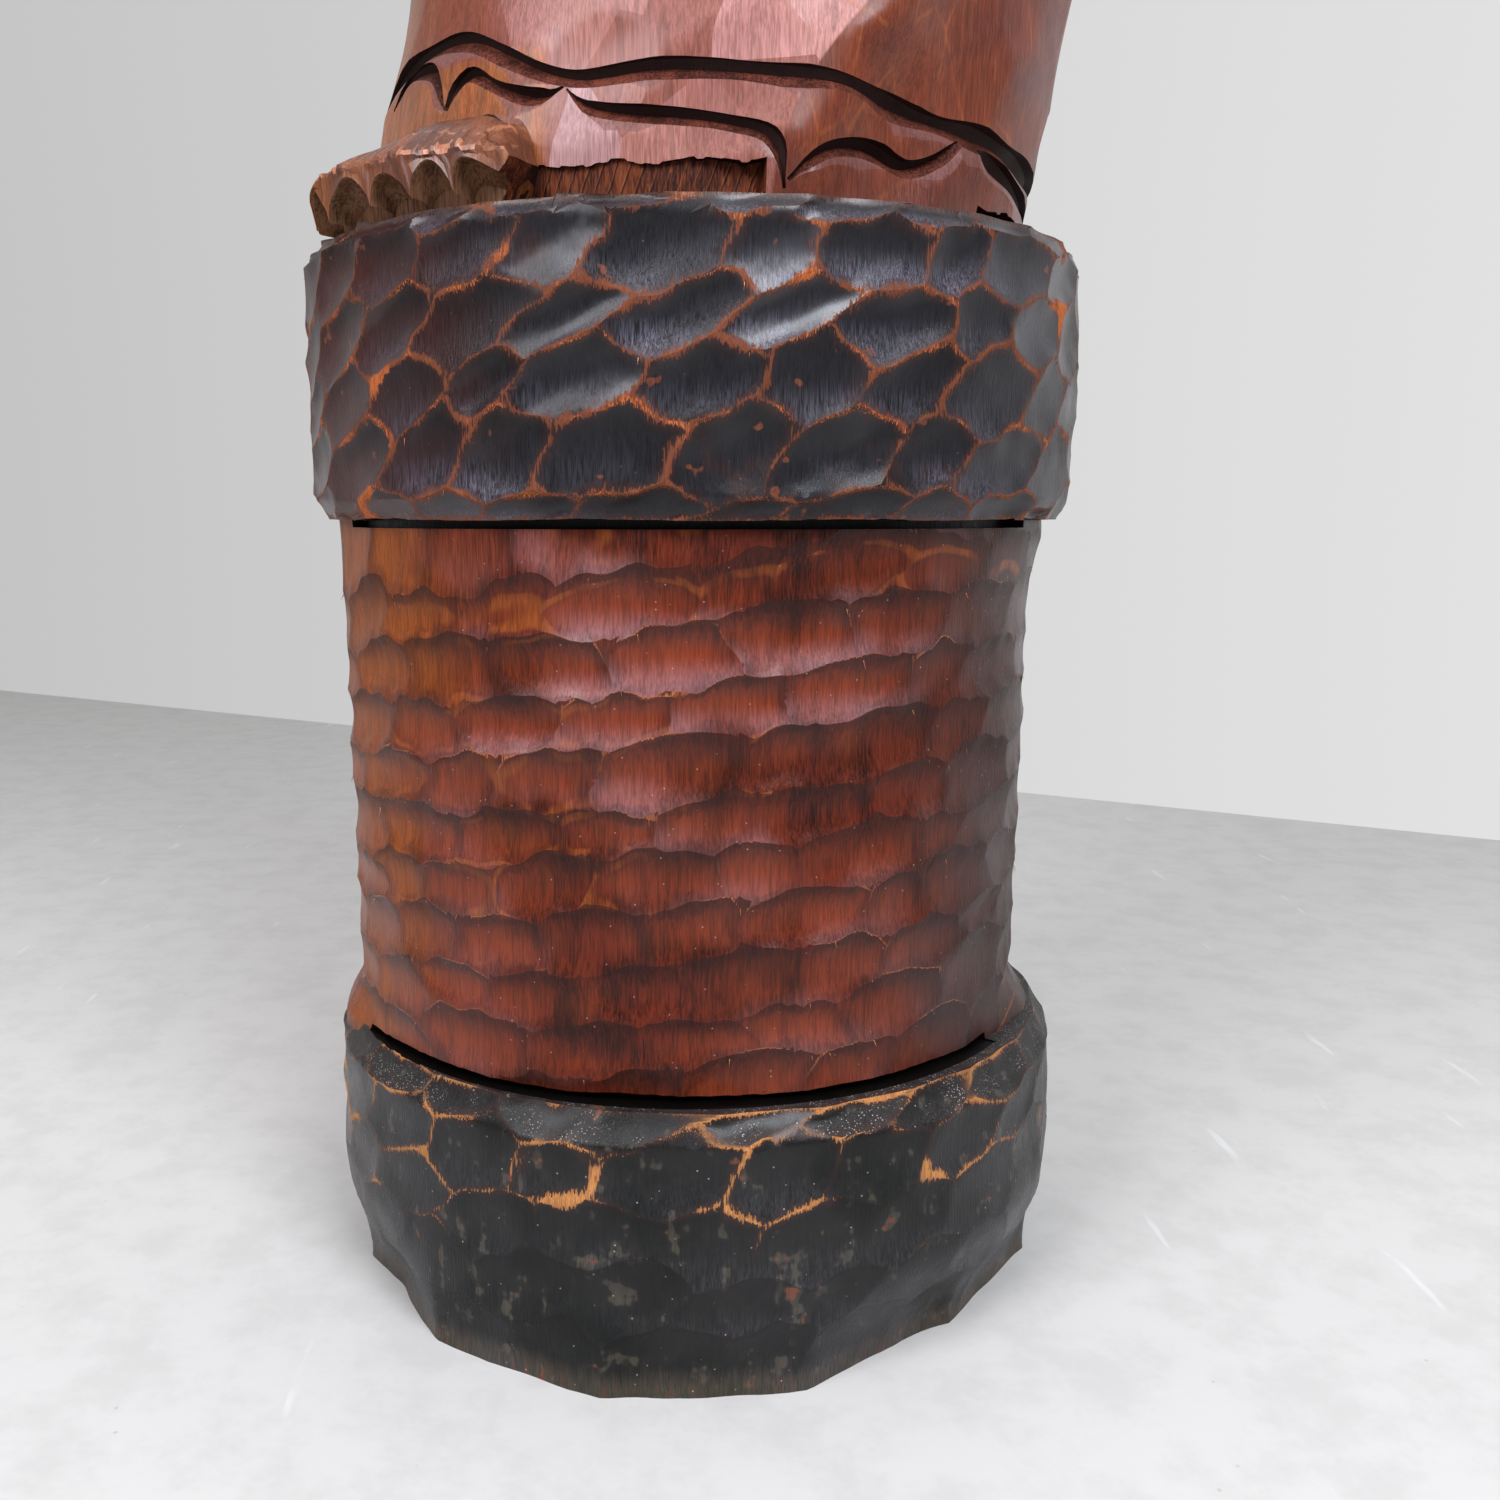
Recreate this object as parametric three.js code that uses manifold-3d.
// A carved and stained totem pole, cut from one upright log. From the floor up it is a gouged
// foot band, a gouged drum, a gouged head band, and a robed standing figure with one foot out.
// Millimetres, +Z up. The origin is on the floor at the log's axis, and the front faces -Y.
// Angles go round the log from the front towards +X.

import * as THREE from 'three';
import { mergeVertices } from 'three/addons/utils/BufferGeometryUtils.js';
import Module from 'manifold-3d';

const manifold = await Module();
manifold.setup();

// ---------------------------------------------------------------- driving dimensions

const TURN = 2 * Math.PI;
const LEDGE = 394; // top of the head band, on which the figure stands
const HEIGHT = 1000; // top of the figure's cap

// Each zone of the log: heights of the lines between its courses of gouge cuts, its radius at
// heights, where its middle stands, and how its cuts are laid. The cut sizes are shares of a
// cut's own width or height.
const FOOT_BAND = {
  lines: [0, 23, 46, 69, 91, 101], radius: [[0, 151], [9, 151.5], [50, 150.5], [91, 150], [101, 143]],
  middle: [3, -3], cuts: 24, depth: 2, lean: 0.25, zig: 0.2, drift: 0.2, wander: 0.2, rise: 0.05, seed: 3,
};
const DRUM = {
  lines: [83, 105, 125, 144, 163, 182, 201, 220, 239, 258, 277, 318],
  radius: [[60, 138.5], [112, 138.5], [200, 139.5], [262, 139.5], [297, 141], [340, 141]],
  middle: [-1, 0], cuts: 23, depth: 2.6, lean: 0.05, zig: 0.18, drift: 0.2, wander: 0.16, rise: 0.2,
  seed: 11, slope: 15,
};
const HEAD_BAND = {
  lines: [297, 304, 327, 348, 368, 389, LEDGE],
  radius: [[297, 146], [304, 151], [347, 152.5], [389, 151.5], [LEDGE, 148.5]],
  middle: [1.5, 0], cuts: 28, depth: 2.8, lean: 0.3, zig: 0.3, drift: 0.2, wander: 0.2, rise: 0.05, seed: 23,
};
const ROBE = {
  lines: [381, 414, 452, 492, 534, 576, 618, 658, 696, 732, 762, 786, 804, 822],
  cuts: 17, depth: 2.4, lean: 0.1, zig: 0.16, drift: 0.18, wander: 0.14, rise: 0, seed: 41,
};
const COUNT_DRIFT = 2.4; // a course may have this many cuts more or fewer than its zone's number
const SLOPE_LEAD = 0.35; // the drum's courses climb most a little left of the front

// The foot band stands on flats, as many as cut its rim, which fade out by this height.
const RIM = { flats: 13, fade: 42, corner: -0.22, proud: 1.01 };
// At both sides of the front that rim is trimmed further in.
const TRIMS = [
  { in: 12, at: 0.66, spread: 0.38 }, { in: 8, at: 1.2, spread: 0.35 }, { in: 10, at: -1.1, spread: 0.4 },
];
// At the sides and back the drum runs out into the foot band in a sloping shoulder.
const SHOULDER = { top: 112, height: 11, flare: 7, from: 0.95, to: 1.3 };
const RIGHT_FLARE = { from: 268, to: 297, out: 3.5, at: 1.4, spread: 0.55 };
// Saw kerfs left at the front where each band meets the drum.
const KERFS = [
  { from: -62, to: 56, floor: 100.4, height: 2.8, inner: 131, outer: 141.5 },
  { from: -64, to: 60, floor: 294.2, height: 3, inner: 134, outer: 147 },
];

// The figure's half width and half depth, and how far its middle sways to the right.
const FACING = THREE.MathUtils.degToRad(-12);
const HALF_WIDTH = [
  [380, 130], [411, 130], [497, 128], [560, 125], [634, 114], [700, 111], [752, 110], [778, 101],
  [796, 82], [810, 62], [822, 50],
];
const HALF_DEPTH = [
  [380, 125], [411, 125], [497, 123], [560, 116], [634, 101], [700, 92], [752, 86], [778, 78],
  [796, 68], [810, 58], [822, 50],
];
const SWAY = [
  [380, 2], [411, 3], [497, 21], [548, 26], [610, 20], [690, 4], [760, -8], [850, -12],
];

// Sleeves: stations down an arm as degrees from the front, height, half width and thickness.
const ARM = [
  [78, 792, 12, 10], [84, 770, 22, 17], [87, 738, 25, 19], [84, 704, 27, 20], [70, 680, 28, 22],
  [52, 676, 27, 23], [34, 682, 25, 22], [14, 690, 22, 20], [-4, 694, 17, 16],
];
const CUFF = { from: 4, to: 66, middle: 33, foot: 588, lift: 34, head: 690, proud: 15 };
// Collars: the same four numbers, from the nape round the neck and down to the crossed front.
const COLLAR = [
  [180, 818, 8, 7], [130, 815, 9, 8], [90, 810, 10, 9], [55, 799, 10, 9], [30, 778, 10, 8],
  [12, 754, 10, 7], [-6, 728, 10, 6], [-20, 706, 9, 5],
];

// The head is an egg about its own axis, under a plain cap.
const NECK = { radius: 45, flare: 6, bottom: 796, top: 856 };
const HEAD = { width: 61, depth: 70, bottom: 812, top: HEIGHT - 5, sway: -12, forward: 4 };
const FACE = { eyes: 900, brow: 914, nose: 871, mouth: 853, chin: 829, cap: 934 };

// The foot that steps out from under the hem, over the head band's rim.
const STEP = { from: -61, to: -20, arches: 5, stations: 20, inner: 104, ridge: 14, arch: 9.5 };

// Hems: lines of a knife groove round the robe, as degrees round and height over the ledge.
const OUTER_HEM = [
  [-186, 24], [-140, 24], [-98, 33], [-74, 55], [-49, 61], [-27, 44.5], [-6, 42], [12, 39.5],
  [30, 34.5], [52, 29.5], [80, 25], [110, 23], [148, 23], [186, 24],
];
const INNER_HEMS = [
  [[-66, 47], [-56, 54], [-45.2, 38.5]],
  [[-45.2, 38.5], [-41.5, 47], [-33, 41], [-22.5, 39]],
  [[-22.5, 39], [-18, 32], [-1, 27], [9, 22.5], [13, 5]],
  [[13, 7], [19, 19], [34, 18], [46.5, 31]],
  [[47, 31], [52, 25], [64, 20], [84, 14]],
];
const GROOVE = { width: 5.5, depth: 6, proud: 8 };
// Under the inner hem the log is cut back further, on each side of the middle fold.
const RECESSES = [
  { from: -22, to: 11, floor: LEDGE, height: 13, inner: 120, outer: 145 },
  { from: 51, to: 76, floor: LEDGE, height: 10, inner: 121, outer: 145 },
];

// ---------------------------------------------------------------- small helpers

const radians = THREE.MathUtils.degToRad;
const smooth = THREE.MathUtils.smoothstep;
const bell = (distance, spread) => Math.exp(-((distance / spread) ** 2));

/** A repeatable number from -1 to 1 for a whole-number place. */
function chance(seed, course, cut) {
  const wave = Math.sin(seed * 127.1 + course * 311.7 + cut * 74.7) * 43758.5453;
  return 2 * (wave - Math.floor(wave)) - 1;
}

/** The value at a height, on straight lines between stations. */
function between(stations, height) {
  const next = stations.findIndex(([at]) => at > height);
  if (next === 0) return stations[0][1];
  if (next < 0) return stations.at(-1)[1];
  const [[low, start], [high, end]] = [stations[next - 1], stations[next]];
  return THREE.MathUtils.lerp(start, end, (height - low) / (high - low));
}

/** The value at a height, on a smooth curve through stations. */
function flowing(stations, height) {
  const last = stations.length - 1;
  const next = stations.findIndex(([at]) => at > height);
  if (next === 0) return stations[0][1];
  if (next < 0) return stations[last][1];
  const slopeAt = (k) => {
    const [before, after] = [stations[Math.max(k - 1, 0)], stations[Math.min(k + 1, last)]];
    return (after[1] - before[1]) / (after[0] - before[0]);
  };
  const [[low, start], [high, end]] = [stations[next - 1], stations[next]];
  const span = high - low;
  const t = (height - low) / span;
  return start * (1 + 2 * t) * (1 - t) ** 2 + slopeAt(next - 1) * span * t * (1 - t) ** 2
    + end * t * t * (3 - 2 * t) - slopeAt(next) * span * t * t * (1 - t);
}

/** The same angle within half a turn of zero. */
const wrapped = (angle) => angle - TURN * Math.round(angle / TURN);

/** A point at an angle round an upright axis. */
const around = (radius, angle, height, axisX = 0, axisY = 0) => new THREE.Vector3(
  axisX + radius * Math.sin(angle), axisY - radius * Math.cos(angle), height,
);

/** A closed solid from loose triangles, turned so that its faces point out. */
function solid(triangles) {
  let volume = 0;
  for (const [a, b, c] of triangles) volume += a.dot(new THREE.Vector3().crossVectors(b, c));
  const corners = triangles.flatMap(([a, b, c]) => (volume > 0 ? [a, b, c] : [a, c, b]));
  const loose = new THREE.BufferGeometry().setFromPoints(corners);
  const merged = mergeVertices(loose);
  return new manifold.Manifold(new manifold.Mesh({
    numProp: 3,
    vertProperties: merged.getAttribute('position').array,
    triVerts: new Uint32Array(merged.getIndex().array),
  }));
}

/** A closed solid swept through loops of points, with flat ends. */
function sweep(loops) {
  const triangles = [];
  const count = loops[0].length;
  for (let k = 0; k + 1 < loops.length; k += 1) {
    for (let i = 0; i < count; i += 1) {
      const [a, b] = [loops[k][i], loops[k][(i + 1) % count]];
      const [c, d] = [loops[k + 1][i], loops[k + 1][(i + 1) % count]];
      triangles.push([a, b, d], [a, d, c]);
    }
  }
  for (let i = 1; i + 1 < count; i += 1) {
    triangles.push([loops[0][0], loops[0][i + 1], loops[0][i]]);
    const end = loops.at(-1);
    triangles.push([end[0], end[i], end[i + 1]]);
  }
  return solid(triangles);
}

/** A bar of square section bent round the log's axis. */
function ringSector({ from, to, floor, height, inner, outer }) {
  const loops = [];
  const steps = Math.ceil((to - from) / 9);
  for (let k = 0; k <= steps; k += 1) {
    const angle = radians(THREE.MathUtils.lerp(from, to, k / steps));
    const section = [[inner, floor], [outer, floor], [outer, floor + height], [inner, floor + height]];
    loops.push(section.map(([radius, z]) => around(radius, angle, z)));
  }
  return sweep(loops);
}

// ---------------------------------------------------------------- gouge cuts

/**
 * Lays courses of gouge cuts round the log. Each cut is a cell between two lines and two
 * dividers, whose ends stand a little over or under the line, so that the cells interlock.
 */
function layCuts({ lines, cuts, lean, zig, drift, wander, rise, depth, seed, slope = 0 }) {
  const ends = lines.length - 1;
  const rows = lines.map(() => []);
  const countOf = (course) => cuts + Math.round(COUNT_DRIFT * chance(seed + 5, course, 0));
  const place = (line, course, cut, side) => {
    const isEnd = line === 0 || line === ends;
    const middle = cut + (0.5 + lean) * course + 0.5 * side * lean + drift * chance(seed + side, course, cut);
    const angle = (middle / countOf(course) * TURN + TURN) % TURN;
    const tall = lines[Math.min(line + 1, ends)] - lines[Math.max(line - 1, 0)];
    const stray = isEnd ? 0 : 0.5 * tall * (wander * chance(seed + 7, line, cut) - side * zig);
    const corner = { angle, height: lines[line] + stray + slope * Math.sin(angle + SLOPE_LEAD) };
    rows[line].push(corner);
    return corner;
  };
  const dividers = lines.slice(0, -1).map((_, course) => (
    Array.from({ length: countOf(course) }, (__, cut) => ({
      foot: place(course, course, cut, -1),
      head: place(course + 1, course, cut, 1),
    }))
  ));
  rows.forEach((row) => row.sort((a, b) => a.angle - b.angle));

  const walk = (row, start, stop, near) => {
    const path = [];
    let turn = TURN * Math.round((near - start.angle) / TURN);
    for (let k = row.indexOf(start); ; k += 1) {
      if (k === row.length) {
        k = 0;
        turn += TURN;
      }
      path.push([row[k].angle + turn, row[k].height]);
      if (row[k] === stop) return path;
    }
  };
  return dividers.flatMap((course, index) => course.map((left, cut) => {
    const right = course[(cut + 1) % course.length];
    const floor = walk(rows[index], left.foot, right.foot, left.foot.angle);
    const roof = walk(rows[index + 1], left.head, right.head, left.foot.angle).reverse();
    const corners = [...floor, ...roof];
    const mean = [0, 1].map((axis) => corners.reduce((sum, c) => sum + c[axis], 0) / corners.length);
    mean[1] += rise * (lines[index + 1] - lines[index]);
    const dish = depth * (1 + 0.35 * chance(seed + 13, index, cut));
    return { corners, floor, roof, middle: mean, dish, isFirst: index === 0, isLast: index === ends - 1 };
  }));
}

/** A closed solid skinned with dished cuts, each a fan round its deepest point. */
function gougedSolid(cells, form, fineness) {
  const triangles = [];
  const surface = ([angle, height], inset) => form(angle, height, inset);
  const mix = (a, b, t) => [THREE.MathUtils.lerp(a[0], b[0], t), THREE.MathUtils.lerp(a[1], b[1], t)];
  const capped = (edge, height, inward) => {
    for (let k = 0; k + 1 < edge.length; k += 1) {
      for (let s = 0; s < fineness; s += 1) {
        const a = surface(mix(edge[k], edge[k + 1], s / fineness), 0);
        const b = surface(mix(edge[k], edge[k + 1], (s + 1) / fineness), 0);
        triangles.push(inward ? [form.axis(height), b, a] : [form.axis(height), a, b]);
      }
    }
  };
  for (const { corners, floor, roof, middle, dish, isFirst, isLast } of cells) {
    corners.forEach((corner, k) => {
      const following = corners[(k + 1) % corners.length];
      const point = (ring, side) => {
        if (ring === 0) return surface(middle, dish);
        const edge = mix(corner, following, side / ring);
        const reach = ring / fineness;
        return surface(mix(middle, edge, reach), dish * (1 - reach ** 2));
      };
      for (let ring = 1; ring <= fineness; ring += 1) {
        for (let side = 0; side < ring; side += 1) {
          triangles.push([point(ring - 1, side), point(ring, side), point(ring, side + 1)]);
          if (side > 0) triangles.push([point(ring - 1, side - 1), point(ring, side), point(ring - 1, side)]);
        }
      }
    });
    if (isFirst) capped(floor, cells.bottom, true);
    if (isLast) capped(roof, cells.top, true);
  }
  return solid(triangles);
}

/** Cuts laid and skinned over a form, as one solid. */
function gouged(zone, form, fineness = 1) {
  const cells = layCuts(zone);
  cells.bottom = zone.lines[0];
  cells.top = zone.lines.at(-1);
  return gougedSolid(cells, form, fineness);
}

// ---------------------------------------------------------------- forms of the log

const FULL_DEPTH_RADIUS = 110; // cuts are shallower where the log is slimmer than this

/** A surface round an axis, from a function for its radius and one for its middle. */
function turned(radiusAt, middleAt = () => [0, 0]) {
  const form = (angle, height, inset) => {
    const [x, y] = middleAt(height);
    const radius = radiusAt(angle, height);
    return around(radius - inset * Math.min(1, radius / FULL_DEPTH_RADIUS), angle, height, x, y);
  };
  form.axis = (height) => around(0, 0, height, ...middleAt(height));
  return form;
}

function footBandRadius(angle, height) {
  const step = TURN / RIM.flats;
  const across = (((angle - RIM.corner) % step) + step) % step - step / 2;
  const flat = Math.cos(step / 2) / Math.cos(across);
  const fade = 1 - smooth(height, 0, RIM.fade);
  const trimmed = fade * TRIMS.reduce((sum, trim) => sum + trim.in * bell(wrapped(angle) - trim.at, trim.spread), 0);
  return between(FOOT_BAND.radius, height) * THREE.MathUtils.lerp(1, flat * RIM.proud, fade) - trimmed;
}

function drumRadius(angle, height) {
  const side = smooth(Math.abs(wrapped(angle)), SHOULDER.from, SHOULDER.to);
  const low = THREE.MathUtils.clamp((SHOULDER.top - height) / SHOULDER.height, 0, 1);
  const flare = RIGHT_FLARE.out * bell(wrapped(angle) - RIGHT_FLARE.at, RIGHT_FLARE.spread)
    * smooth(height, RIGHT_FLARE.from, RIGHT_FLARE.to);
  return between(DRUM.radius, height) + SHOULDER.flare * side * low + flare;
}

const headBandRadius = (angle, height) => between(HEAD_BAND.radius, height);

// ---------------------------------------------------------------- the robed figure

/** The robe's long folds, from the middle hem cusp up to the left hip, and down the back. */
function folds(angle, height) {
  const upward = (height - LEDGE) / (590 - LEDGE);
  const frontFold = radians(10.4) + radians(42) * upward;
  const fade = smooth(upward, -0.1, 0.15) * (1 - smooth(upward, 0.7, 1.1));
  const across = wrapped(angle - frontFold);
  const front = fade * (6 * bell(across, 0.13) - 5 * bell(across - 0.3, 0.2));
  const behind = wrapped(angle - Math.PI);
  const skirt = 1 - smooth(height, 560, 660);
  const back = -5 * skirt * Math.abs(Math.sin(3 * behind)) * (1 - smooth(Math.abs(behind), 0.9, 1.3));
  return front + back;
}

function figureRadius(angle, height) {
  const phi = wrapped(angle - FACING);
  const width = flowing(HALF_WIDTH, height);
  const depth = flowing(HALF_DEPTH, height);
  const body = 1 / Math.hypot(Math.sin(phi) / width, Math.cos(phi) / depth);
  return body + folds(angle, height);
}

const figureMiddle = (height) => [flowing(SWAY, height), 0];
const figureForm = turned(figureRadius, figureMiddle);

/** A raised roll over the robe, through stations of degrees, height, half width and thickness. */
function roll(stations, side, corners) {
  const path = stations.map(([degrees, height, , thickness]) => (
    figureForm(FACING + side * radians(degrees), height, 0.35 * thickness)
  ));
  const loops = stations.map(([degrees, , halfWidth, thickness], k) => {
    const out = around(1, FACING + side * radians(degrees), 0);
    const along = path[Math.min(k + 1, path.length - 1)].clone().sub(path[Math.max(k - 1, 0)]).normalize();
    const across = new THREE.Vector3().crossVectors(along, out).normalize();
    return Array.from({ length: corners }, (_, corner) => {
      const angle = TURN * (corner + 0.5) / corners;
      return path[k].clone()
        .addScaledVector(out, thickness * Math.cos(angle))
        .addScaledVector(across, halfWidth * Math.sin(angle));
    });
  });
  return sweep(loops);
}

/** The cuff that hangs from a forearm, with a curved foot. */
function cuff(side) {
  const loops = [];
  for (let degrees = CUFF.from; degrees <= CUFF.to; degrees += (CUFF.to - CUFF.from) / 10) {
    const angle = FACING + side * radians(degrees);
    const spread = (degrees - CUFF.middle) / (CUFF.to - CUFF.middle);
    const foot = CUFF.foot + CUFF.lift * spread ** 2;
    const fold = 3 * Math.cos(0.42 * (degrees - CUFF.middle));
    const proud = CUFF.proud * (1 - 0.5 * spread ** 4) + fold;
    loops.push([
      figureForm(angle, foot, 12), figureForm(angle, foot, -proud), figureForm(angle, foot + 8, -proud - 2),
      figureForm(angle, CUFF.head, -proud), figureForm(angle, CUFF.head, 12),
    ]);
  }
  return sweep(loops);
}

/** A knife groove along a line round the robe. */
function groove(points) {
  const line = new THREE.SplineCurve(points.map(([degrees, over]) => new THREE.Vector2(degrees, over)));
  const mmPerDegree = radians(HALF_WIDTH[0][1]);
  const steps = Math.max(6, Math.round(Math.abs(points.at(-1)[0] - points[0][0]) / 10));
  const loops = [];
  for (let k = 0; k <= steps; k += 1) {
    const at = line.getPoint(k / steps);
    const along = line.getTangent(k / steps);
    const across = new THREE.Vector2(-along.y, along.x * mmPerDegree).normalize();
    const half = GROOVE.width / 2;
    const edge = (side, inset) => figureForm(
      radians(at.x + side * half * across.x / mmPerDegree), LEDGE + at.y + side * half * across.y, inset,
    );
    loops.push([edge(1, -GROOVE.proud), edge(-1, -GROOVE.proud), edge(0.35, GROOVE.depth)]);
  }
  return sweep(loops);
}

// ---------------------------------------------------------------- the head

/** How far the face's features stand out from the egg of the head. */
function features(psi, height) {
  const away = Math.abs(psi);
  const side = 64 * away;
  const bridge = smooth(height, FACE.nose - 4, FACE.nose + 3) * (1 - smooth(height, FACE.eyes - 4, FACE.brow));
  const wing = THREE.MathUtils.mapLinear(height, FACE.nose, FACE.eyes, 11, 5);
  const nose = bridge * THREE.MathUtils.mapLinear(height, FACE.nose, FACE.brow, 17, 3) * bell(side, wing);
  const brow = 4 * bell(height - FACE.brow - 3 + 0.22 * Math.abs(side - 22), 7) * (1 - smooth(away, 0.8, 1.1));
  const socket = -7 * bell(side - 23, 15) * bell(height - FACE.eyes, 11);
  const lid = 6 * bell(side - 23, 11) * bell(height - FACE.eyes + 1, 6.5);
  const lips = 5 * bell(side, 17) * (bell(height - FACE.mouth - 4, 3.6) + bell(height - FACE.mouth + 4, 4));
  const chin = 7 * bell(side, 20) * bell(height - FACE.chin, 10);
  const cheek = 4 * bell(side - 34, 16) * bell(height - 875, 16);
  const ear = 10 * bell(side - 98, 12) * bell(height - 888, 20);
  return nose + brow + socket + lid + lips + chin + cheek + ear;
}

function headRadius(angle, height) {
  const psi = wrapped(angle - FACING);
  const middle = (HEAD.top + HEAD.bottom) / 2;
  const rise = Math.abs((height - middle) / (HEAD.top - middle));
  const egg = Math.max(0, 1 - rise ** 2.5) ** 0.42;
  const plan = 1 / Math.hypot(Math.sin(psi) / HEAD.width, Math.cos(psi) / HEAD.depth);
  const capLine = FACE.cap - 14 * smooth(Math.abs(psi), 0.6, 2.4);
  const cap = 6 * smooth(height, capLine - 3, capLine + 3);
  const open = 1 - smooth(rise, 0.86, 1);
  return Math.max(0.5, plan * egg + open * (features(psi, height) + cap));
}

/** A closed solid on a plain grid of angles and heights, its ends drawn to two points on the axis. */
function gridSolid(form, angles, heights, ends) {
  const triangles = [];
  const last = heights.length - 1;
  angles.forEach((angle, k) => {
    const beside = k + 1 < angles.length ? angles[k + 1] : angles[0] + TURN;
    for (let row = 0; row < last; row += 1) {
      const [a, b] = [form(angle, heights[row], 0), form(beside, heights[row], 0)];
      const [c, d] = [form(angle, heights[row + 1], 0), form(beside, heights[row + 1], 0)];
      triangles.push([a, b, d], [a, d, c]);
    }
    triangles.push([form.axis(ends[0]), form(beside, heights[0], 0), form(angle, heights[0], 0)]);
    triangles.push([form.axis(ends[1]), form(angle, heights[last], 0), form(beside, heights[last], 0)]);
  });
  return solid(triangles);
}

function headAndNeck() {
  const middle = () => [HEAD.sway + HEAD.forward * Math.sin(FACING), -HEAD.forward * Math.cos(FACING)];
  const columns = (from, to, step) => {
    const angles = [];
    for (let degrees = from; degrees < to; degrees += step) angles.push(FACING + radians(degrees));
    return angles;
  };
  const angles = [
    ...columns(-108, -60, 12), ...columns(-60, 60, 6), ...columns(60, 108, 12), ...columns(108, 251, 36),
  ];
  const heights = [];
  for (let height = HEAD.bottom + 3; height < FACE.cap + 8; height += 6.8) heights.push(height);
  for (let height = heights.at(-1) + 9; height < HEAD.top - 1; height += 9.5) heights.push(height);
  const head = gridSolid(turned(headRadius, middle), angles, heights, [HEAD.bottom - 2, HEIGHT]);
  const throat = (angle, height) => NECK.radius + NECK.flare * smooth(-height, -NECK.top + 20, -NECK.bottom);
  const levels = [NECK.bottom, (NECK.bottom + NECK.top) / 2, NECK.top];
  const neck = gridSolid(turned(throat, middle), columns(-180, 180, 22.5), levels, [NECK.bottom, NECK.top]);
  return head.add(neck);
}

// ---------------------------------------------------------------- the stepping foot

/** A low broad foot over the rim, sloping to a ridge along its front, with a row of arches under it. */
function steppingFoot() {
  const tops = [[0, 6], [0.05, 14], [0.2, 23], [0.45, 30], [0.75, 33], [0.9, 31], [0.97, 24], [1, 12]];
  const reach = [[0, 151], [0.1, 154], [0.45, 152], [0.8, 148], [1, 142]];
  const loops = [];
  for (let k = 0; k <= STEP.stations; k += 1) {
    const t = k / STEP.stations;
    const angle = radians(THREE.MathUtils.lerp(STEP.from, STEP.to, t));
    const top = LEDGE + flowing(tops, t);
    const outer = flowing(reach, t);
    const ridge = LEDGE + Math.min(STEP.ridge, top - LEDGE - 3);
    const rise = STEP.arch * Math.abs(Math.sin(Math.PI * STEP.arches * t)) ** 0.7;
    const arch = LEDGE + 0.5 + Math.min(rise, ridge - LEDGE - 2.5);
    const section = [
      [STEP.inner, LEDGE - 5], [STEP.inner, top - 1], [outer - 26, top], [outer - 11, ridge + 0.72 * (top - ridge)],
      [outer, ridge], [outer - 1, arch], [outer - 11, arch], [outer - 12, LEDGE - 3],
    ];
    loops.push(section.map(([radius, z]) => around(radius, angle, z)));
  }
  return sweep(loops);
}

// ---------------------------------------------------------------- assembly

const carved = [
  gouged(DRUM, turned(drumRadius, () => DRUM.middle)),
  gouged(HEAD_BAND, turned(headBandRadius, () => HEAD_BAND.middle)),
  gouged(ROBE, figureForm),
  ...[1, -1].flatMap((side) => [roll(COLLAR, side, 6), roll(ARM, side, 8), cuff(side)]),
  headAndNeck(),
  steppingFoot(),
].reduce((log, piece) => log.add(piece), gouged(FOOT_BAND, turned(footBandRadius, () => FOOT_BAND.middle)));

const removed = [
  ...KERFS.map(ringSector),
  ...RECESSES.map(ringSector),
  ...[OUTER_HEM, ...INNER_HEMS].map(groove),
];
const finished = removed.reduce((log, cutter) => log.subtract(cutter), carved);

/** A three.js geometry from a finished solid. */
function geometryOf(body) {
  const { vertProperties, triVerts } = body.getMesh();
  const geometry = new THREE.BufferGeometry();
  geometry.setAttribute('position', new THREE.BufferAttribute(vertProperties, 3));
  geometry.setIndex(new THREE.BufferAttribute(triVerts, 1));
  geometry.computeVertexNormals();
  return geometry;
}

const stainedWood = new THREE.MeshStandardMaterial({ color: 0x6b2c17, roughness: 0.45, metalness: 0 });
const pole = new THREE.Mesh(geometryOf(finished), stainedWood);
pole.name = 'totem_pole';

const group = new THREE.Group();
group.add(pole);

export default group;
